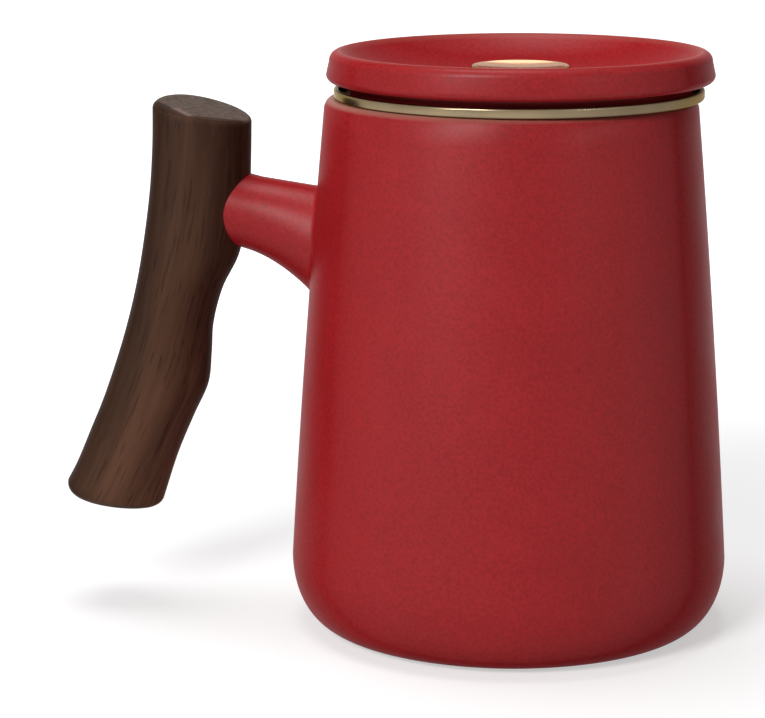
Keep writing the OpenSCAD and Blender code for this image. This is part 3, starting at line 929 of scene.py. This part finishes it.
def build_metal(name, bright, dull, rough_low, rough_high, lines, axis_x=0.0,
                tint=GRAZING_TINT):
    """A turned metal whose fine lines run round an upright axis at axis_x, in millimetres."""
    material, tree, shader = new_finish(name, Metallic=1.0)
    shader.inputs["Specular Tint"].default_value = (*tint, 1)
    grain, place = add_grain(tree, METAL_CLOUDS, METAL_SPECKS)
    clouds = grain.outputs["Clouds"]
    # painted shade: darkens and roughens the metal where the mask is painted
    shade_mask = mask(tree, "painted_shade")
    plate = ramp(tree, clouds, [(0.35, dull), (0.65, bright)])
    tree.links.new(mix(tree, shade_mask, plate, (*SHADE_COLOUR, 1)), shader.inputs["Base Color"])
    rough = between(tree, clouds, 0.3, 0.7, rough_low, rough_high)
    dulled = add(tree, "ShaderNodeMix", {"Factor": shade_mask, 2: rough, 3: SHADE_ROUGH})
    tree.links.new(dulled.outputs[0], shader.inputs["Roughness"])
    centred = add(tree, "ShaderNodeMapping",
                  {"Vector": place.outputs["Object"], "Location": (-mm(axis_x), 0, 0)})
    split = add(tree, "ShaderNodeSeparateXYZ", {"Vector": centred.outputs[0]})
    radius = add(tree, "ShaderNodeVectorMath",
                 {0: centred.outputs[0], 1: (1, 1, 0)}, operation="MULTIPLY")
    length = add(tree, "ShaderNodeVectorMath", {0: radius.outputs[0]}, operation="LENGTH")
    around = add(tree, "ShaderNodeCombineXYZ",
                 {"X": length.outputs["Value"], "Z": split.outputs["Z"]})
    turning = add(tree, "ShaderNodeTexNoise",
                  {"Vector": around.outputs[0], "Scale": TURNING_LINES, "Detail": 1.0})
    tree.links.new(bumped(tree, turning.outputs["Fac"], lines, 0.01), shader.inputs["Normal"])
    return material


rim_gold = build_metal("gold_rim_plate", GOLD, GOLD_DULL, 0.18, 0.25, 0.15, INFUSER_X)
knob_gold = build_metal("gold_knob_plate", GOLD, GOLD_DULL, 0.10, 0.15, 0.10, LID_X,
                        tint=KNOB_TINT)
sheet_gold = build_metal("gold_sheet", GOLD, GOLD_DULL, 0.26, 0.36, 0.3, INFUSER_X)
brass = build_metal("insert_brass", (0.52, 0.37, 0.14), (0.43, 0.30, 0.11), 0.3, 0.4, 0.4)
steel = build_metal("fastener_steel", grey(0.52), grey(0.44), 0.28, 0.38, 0.4, LID_X,
                    tint=grey(0.8))
print("finishes:", rim_gold.name, knob_gold.name, sheet_gold.name, brass.name, steel.name)

# %% [markdown]
# ## The infuser's rim
#
# The infuser hangs in the mug by a flange that lies on the lip. The sheet's edge is folded into an
# upright hem, which stiffens it and makes the gold band under the lid. Flange, hem and collar are
# one pressing, so they are one closed profile, spun once. It lies loose and has slid a little away
# from the grip, so its axis isn't the mug's. Its mask holds painted shade: dark in the channel
# inside the hem, and slightly darker on the side away from the grip.

# %% Turn the infuser's rim
SHEET = 0.5
COLLAR_H = 9.0
FLANGE_T = 0.6
HEM_W = 1.0
BEND_R = 0.35            # the bend between the collar and the flange
COLLAR_R = BASKET_R + SHEET
hem_c = HEM_R - HEM_W / 2
flange_top = RIM_Z + FLANGE_T

rim_profile = (
    [(BASKET_R, RIM_Z - COLLAR_H), (COLLAR_R, RIM_Z - COLLAR_H), (COLLAR_R, RIM_Z - BEND_R),
     (COLLAR_R + 0.1, RIM_Z - 0.1), (COLLAR_R + BEND_R, RIM_Z)]
    + arc(hem_c, RIM_Z + HEM_W / 2, HEM_W / 2, HEM_W / 2, -90, 0, 8)
    + arc(hem_c, HEM_TOP - HEM_W / 2, HEM_W / 2, HEM_W / 2, 0, 180, 16)
    + [(HEM_R - HEM_W, flange_top)]
    + arc(COLLAR_R, flange_top - SHEET, SHEET, SHEET, 90, 180, 5))

CHANNEL_R = HEM_R - HEM_W - 0.6
CHANNEL_SPREAD = 2.4
# painted shade on the side away from the grip
SHADED_SIDE = 0.34
SHADED_FROM_X = 8
SHADED_OVER_X = 24


def channel_shade(x, y, z):
    """Painted shade: 1 in the corner between the flange and the inside of its hem, and a little on
    one side.
    """
    r = math.hypot(x - INFUSER_X, y)
    in_channel = r < hem_c - 0.1 and RIM_Z < z < HEM_TOP - 0.15
    in_shade = limited(1.6 * near(r, CHANNEL_R, CHANNEL_SPREAD)) if in_channel else 0.0
    return max(SHADED_SIDE * limited((x - SHADED_FROM_X) / SHADED_OVER_X), in_shade)


rim = to_object("gold_rim", turned(rim_profile, closed=True, axis_x=INFUSER_X))
paint(rim, "painted_shade", channel_shade)
dress(rim.data, rim_gold)
settle(rim, "infuser", "gold_metal", "infuser_rim")

# %% [markdown]
# ## The lid
#
# The lid is glazed like the mug. On top it is a shallow dish whose edge rises to a rounded crest,
# and below it a spigot drops inside the infuser to keep it from sliding. It rests on a narrow
# land, so a dark gap shows all round between the lid and the gold hem.

# %% Turn the lid
EDGE_H = 6.2
OVERHANG_Z = CREST_Z - EDGE_H
LAND_GAP = 2.0
LAND_R = HEM_R - HEM_W - LAND_GAP
LOW_ROUND = 1.5
TOP_ROUND = 2.0
EDGE_LEAN = 0.6
DISH_DEPTH = 7.4
DISH_FLAT = 13.0
DISH_POWER = 2.5
PLATE = 4.3
SPIGOT_GAP = 0.6
SPIGOT_T = 3.5
SPIGOT_DEPTH = 7.1
SPIGOT_ROUND = 1.0
SPIGOT_R = BASKET_R - SHEET - SPIGOT_GAP
SPIGOT_INNER = SPIGOT_R - SPIGOT_T
SPIGOT_Z = RIM_Z - SPIGOT_DEPTH
SCREW_HOLE = 2.3
CREST_FALL = 0.25        # from the crest down to where the dish starts
crest_r = LID_R - EDGE_LEAN - TOP_ROUND
crest_inner = crest_r - 0.4
dish_z = CREST_Z - DISH_DEPTH


def dish_height(r):
    """Height of the dish at a radius: flat in the middle, steeper towards the crest."""
    t = max(0, (r - DISH_FLAT) / (crest_inner - DISH_FLAT))
    return dish_z + (DISH_DEPTH - CREST_FALL) * t ** DISH_POWER


def radii(start, end, steps):
    return [start + (end - start) * i / steps for i in range(steps + 1)]


lid_profile = (
    [(SCREW_HOLE, dish_z - PLATE)]
    + [(r, dish_height(r) - PLATE) for r in radii(DISH_FLAT, SPIGOT_INNER - 0.6, 12)]
    + arc(SPIGOT_INNER + SPIGOT_ROUND, SPIGOT_Z + SPIGOT_ROUND, SPIGOT_ROUND, SPIGOT_ROUND,
          180, 270, 6)
    + arc(SPIGOT_R - SPIGOT_ROUND, SPIGOT_Z + SPIGOT_ROUND, SPIGOT_ROUND, SPIGOT_ROUND,
          270, 360, 6)
    + [(SPIGOT_R, flange_top), (LAND_R, flange_top), (LAND_R + 0.4, OVERHANG_Z)]
    + arc(LID_R - LOW_ROUND, OVERHANG_Z + LOW_ROUND, LOW_ROUND, LOW_ROUND, 270, 360, 10)
    + arc(crest_r, CREST_Z - TOP_ROUND, TOP_ROUND, TOP_ROUND, 0, 90, 14)
    + [(r, dish_height(r)) for r in radii(crest_inner, DISH_FLAT, 40)]
    + [(7, dish_z), (SCREW_HOLE, dish_z)])


# The crest's thin glaze also carries a painted highlight along it
CREST_THIN_AND_HIGHLIGHT = 0.18
CREST_SPREAD = 1.4


def lid_thin_and_highlight(x, y, z):
    r = math.hypot(x - LID_X, y)
    return CREST_THIN_AND_HIGHLIGHT * near(r, crest_r - 0.2, CREST_SPREAD) * (1 if z > CREST_Z - 1 else 0)


lid = to_object("glazed_lid", turned(lid_profile, closed=True, axis_x=LID_X))
paint(lid, "thin_glaze_and_highlight", lid_thin_and_highlight)
paint(lid, "bare_clay", lambda x, y, z: 0.0)
dress(lid.data, glaze)
settle(lid, "lid", "red_glaze", "lid_dish")

# %% [markdown]
# ## The knob
#
# A low button with a slightly hollow top, just proud enough for two fingertips under its edge.
# Being polished, it shows every flaw of its curve, so the hollow is one smooth curve with many
# steps.

# %% Turn the knob
KNOB_NECK = 5.2
KNOB_EDGE = 0.5
KNOB_SIDE = 1.6
KNOB_HOLLOW = 0.5
KNOB_WAIST = KNOB_NECK - 0.6
cap_z = KNOB_TOP - KNOB_SIDE
hollow_r = KNOB_R - KNOB_EDGE


def hollow(r):
    """Height of the hollow top at a radius."""
    return KNOB_TOP - KNOB_HOLLOW * (1 - (r / hollow_r) ** 2)


knob_profile = (
    [(0, KNOB_Z), (KNOB_NECK, KNOB_Z), (KNOB_NECK, KNOB_Z + 0.2), (KNOB_WAIST, KNOB_Z + 0.8),
     (KNOB_WAIST, cap_z - 0.4), (KNOB_NECK - 0.4, cap_z - 0.15), (KNOB_NECK + 0.4, cap_z)]
    + arc(hollow_r, cap_z + KNOB_EDGE, KNOB_EDGE, KNOB_EDGE, 270, 360, 6)
    + arc(hollow_r, KNOB_TOP - KNOB_EDGE, KNOB_EDGE, KNOB_EDGE, 0, 84, 8)
    + [(r, hollow(r)) for r in radii(hollow_r, 0, 24)])
knob = to_object("gold_knob", turned(knob_profile, axis_x=LID_X))
dress(knob.data, knob_gold)
settle(knob, "lid", "gold_metal", "lid_knob")

# %% [markdown]
# ## Soft and hidden pieces
#
# Gaskets are matt silicone with a little dust in their grain, and the cement round the stud is
# rough and pale. These solids already have the right shape, so they only get a finish.

# %% Finish the solids that keep their shape
def build_matt(name, light, dark, rough):
    material, tree, shader = new_finish(name, Roughness=rough)
    grain, _ = add_grain(tree, 200.0, 2600.0)
    specks = grain.outputs["Specks"]
    tree.links.new(ramp(tree, specks, [(0.35, dark), (0.65, light)]),
                   shader.inputs["Base Color"])
    tree.links.new(bumped(tree, specks, 0.3, 0.05), shader.inputs["Normal"])
    return material


silicone = build_matt("silicone", grey(0.055), grey(0.035), 0.7)
cement = build_matt("cement", (0.55, 0.50, 0.40), (0.42, 0.37, 0.29), 0.9)
FINISHES = {"infuser_wall": sheet_gold, "infuser_floor": sheet_gold, "grip_insert": brass,
            "grip_stud": steel, "knob_screw": steel, "stud_cement": cement,
            "knob_gasket": silicone, "screw_washer": silicone}
for node, finish in FINISHES.items():
    dress(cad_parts[node].data, finish)
print("finished in place:", sorted(FINISHES))

# %% [markdown]
# ## Floor, backdrop and light
#
# The mug stands on a pale floor in a plain studio. The camera, a glossy surface and glass should
# see a white room, while the clay should be lit at a plain level, so both the floor and the world
# ask what kind of ray has arrived. The floor fades to white away from the mug and keeps its shadow.

# %% Build the floor
FLOOR_GREY = 0.60
FLOOR_HALF = 3.0         # metres


def seen_directly(tree):
    """1 for a ray from the camera or from a glossy or clear surface, 0 for diffuse light."""
    rays = add(tree, "ShaderNodeLightPath")
    direct = add(tree, "ShaderNodeMath", {0: rays.outputs["Is Camera Ray"],
                                          1: rays.outputs["Is Glossy Ray"]}, operation="MAXIMUM")
    seen = add(tree, "ShaderNodeMath", {0: direct.outputs[0],
                                        1: rays.outputs["Is Transmission Ray"]},
               operation="MAXIMUM")
    return seen.outputs[0]


def build_floor():
    """A pale floor that fades to plain white away from the mug, and keeps the mug's shadow."""
    material, tree, shader = new_finish("floor_white", Roughness=0.9, Specular_IOR_Level=0.1)
    shader.inputs["Base Color"].default_value = (*grey(FLOOR_GREY), 1)
    place = add(tree, "ShaderNodeTexCoord")
    away = add(tree, "ShaderNodeVectorMath", {0: place.outputs["Object"]}, operation="LENGTH")
    fade = between(tree, away.outputs["Value"], 0.10, 0.45, 0.50, 1.0,
                   interpolation_type="SMOOTHSTEP")
    glow = add(tree, "ShaderNodeMath", {0: seen_directly(tree), 1: fade}, operation="MULTIPLY")
    shader.inputs["Emission Color"].default_value = (1, 1, 1, 1)
    tree.links.new(glow.outputs[0], shader.inputs["Emission Strength"])
    return material


def stage_plane(name, half):
    bm = bmesh.new()
    bmesh.ops.create_grid(bm, x_segments=1, y_segments=1, size=half)
    obj = to_object(name, bm)
    return obj


floor = stage_plane("floor", FLOOR_HALF)
dress(floor.data, build_floor())
print("floor:", floor.name)

# %% [markdown]
# A soft key light from the left and front models the body, and a weaker one from above lifts the
# dish of the lid. Two small ones, at the side and behind, hardly light the clay, but they put a
# glint on the ring and on the knob. The last two are low in front and only show in glossy
# surfaces: they are the two window-like highlights on the gold ring.

# %% Hang the lights
def area_light(name, place, target, size, power):
    """A round lamp that faces a target, with its size in metres and its power in watts."""
    light = bpy.data.lights.new(name, "AREA")
    light.shape = "DISK"
    light.size = size
    light.energy = power
    obj = bpy.data.objects.new(name, light)
    aim = (Vector(target) - Vector(place)).to_track_quat("-Z", "Y")
    obj.matrix_world = Matrix.Translation(place) @ aim.to_matrix().to_4x4()
    bpy.context.scene.collection.objects.link(obj)
    return obj


area_light("key", (-0.42, -1.00, 0.72), (0, 0, 0.06), 0.45, 10.2)
area_light("top", (-0.15, 0.10, 1.1), (0, 0, 0.1), 0.6, 5.6)
area_light("side", (0.95, -0.34, 0.42), (0, 0, 0.08), 0.14, 0.35)
area_light("back", (-0.12, 1.00, 0.40), (0, 0, 0.11), 0.08, 0.06)
for glint in (area_light("left glint", (-0.60, -0.86, 0.36), (0, 0, 0.1), 0.16, 1.5),
              area_light("right glint", (0.79, -0.70, 0.36), (0, 0, 0.1), 0.10, 0.8)):
    glint.visible_diffuse = False

LOW_LEVEL = 0.16         # the world's even light on the object
world = bpy.data.worlds.new("studio")
bpy.context.scene.world = world
world.use_nodes = True
world_tree = world.node_tree
backing = world_tree.nodes["Background"]
backing.inputs["Color"].default_value = (1, 1, 1, 1)
level = between(world_tree, seen_directly(world_tree), 0.0, 1.0, LOW_LEVEL, 1.0)
world_tree.links.new(level, backing.inputs["Strength"])
bpy.context.scene.view_settings.view_transform = "Standard"
print("studio ready")
